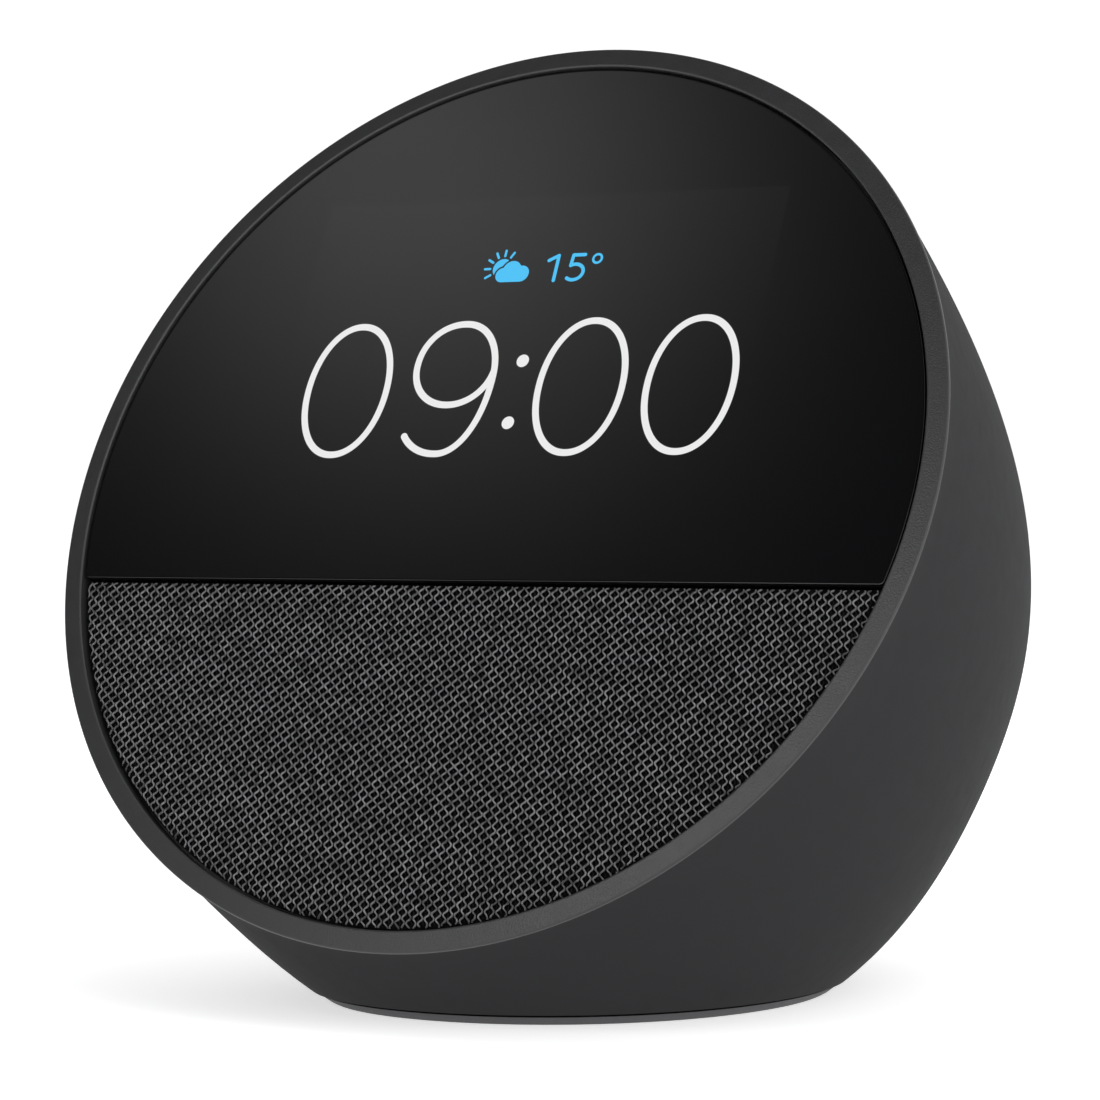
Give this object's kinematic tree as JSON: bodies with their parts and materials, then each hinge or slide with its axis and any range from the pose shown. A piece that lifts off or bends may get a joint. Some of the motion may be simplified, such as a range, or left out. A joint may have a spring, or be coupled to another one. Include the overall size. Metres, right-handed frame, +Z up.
{
  "type": "smart speaker",
  "caption": "Egg-shaped table smart speaker with a tilted round front: a glass clock display over a knitted grille, buttons on top and a power inlet behind.",
  "frame": {"origin": "on the table, under the middle of the object's box", "axes": "+Z up, the round front faces -Y and leans back 25 degrees, +X to the right seen from the front"},
  "size_m": [0.113, 0.1189, 0.1113],
  "materials": {
    "ring_plastic": "fine matte grain, dark grey",
    "shell_plastic": "smooth matte dark grey",
    "display_glass": "glossy near-black display cover with a lit clock",
    "grille_knit": "charcoal open knit",
    "foot_rubber": "matte dark grey rubber",
    "inner_plastic": "black moulded plastic",
    "white_plastic": "off-white plastic",
    "circuit_board": "green solder mask",
    "amber_film": "amber flexible film",
    "lead_rubber": "black lead sheath",
    "soft_rubber": "black soft rubber",
    "cone_paper": "pressed black paper",
    "steel": "plated steel",
    "dark_steel": "black coated steel",
    "ferrite": "dark sintered magnet",
    "copper": "enamelled copper winding",
    "aluminium": "satin aluminium"
  },
  "bodies": {
    "housing": {"front_ring": "ring_plastic", "display_lens": "display_glass", "grille_fabric": "grille_knit", "grille_frame": "inner_plastic", "touch_sensor": "amber_film", "lcd_panel": "white_plastic", "lcd_tray": "steel", "front_chassis": "inner_plastic", "driver_gasket": "soft_rubber", "driver_surround": "soft_rubber", "spider": "cone_paper", "driver_basket": "dark_steel", "top_plate": "steel", "magnet": "ferrite", "pole_plate": "steel", "driver_screw_1": "steel", "driver_screw_2": "steel", "driver_screw_3": "steel", "driver_screw_4": "steel", "speaker_enclosure": "inner_plastic", "main_board": "circuit_board", "processor_shield": "steel", "radio_shield": "steel", "heat_spreader": "aluminium", "display_connector": "white_plastic", "power_connector": "white_plastic", "antenna_left": "amber_film", "antenna_right": "amber_film", "board_screw_1": "steel", "board_screw_2": "steel", "board_screw_3": "steel", "display_flex": "amber_film", "speaker_lead": "lead_rubber", "rear_shell": "shell_plastic", "volume_down_switch": "dark_steel", "mic_mute_switch": "dark_steel", "volume_up_switch": "dark_steel", "button_board": "circuit_board", "mic_left": "steel", "mic_right": "steel", "power_jack": "inner_plastic", "power_board": "circuit_board", "power_lead": "lead_rubber", "base_plate": "inner_plastic", "foot_ring": "foot_rubber", "base_screw_1": "steel", "base_screw_2": "steel", "base_screw_3": "steel", "base_screw_4": "steel", "button_flex": "amber_film"},
    "volume_down_key": {"volume_down_button": "shell_plastic", "volume_down_plunger": "white_plastic"},
    "mic_mute_key": {"mic_mute_button": "shell_plastic", "mic_mute_plunger": "white_plastic"},
    "volume_up_key": {"volume_up_button": "shell_plastic", "volume_up_plunger": "white_plastic"},
    "cone": {"driver_cone": "cone_paper", "dust_cap": "soft_rubber", "voice_coil": "copper"}
  },
  "joints": [
    {"name": "volume_down_press", "type": "slide", "parent": "housing", "child": "volume_down_key", "axis": [0, -0.5209, -0.8536], "range_m": [0, 0.0005], "stiffness_N_per_m": 1500},
    {"name": "mic_mute_press", "type": "slide", "parent": "housing", "child": "mic_mute_key", "axis": [0, -0.5209, -0.8536], "range_m": [0, 0.0005], "stiffness_N_per_m": 1500},
    {"name": "volume_up_press", "type": "slide", "parent": "housing", "child": "volume_up_key", "axis": [0, -0.5209, -0.8536], "range_m": [0, 0.0005], "stiffness_N_per_m": 1500},
    {"name": "cone_stroke", "type": "slide", "parent": "housing", "child": "cone", "axis": [0, -0.9063, 0.4226], "range_m": [-0.0012, 0.0012], "stiffness_N_per_m": 1500, "deforming": ["driver_surround", "spider"]}
  ]
}
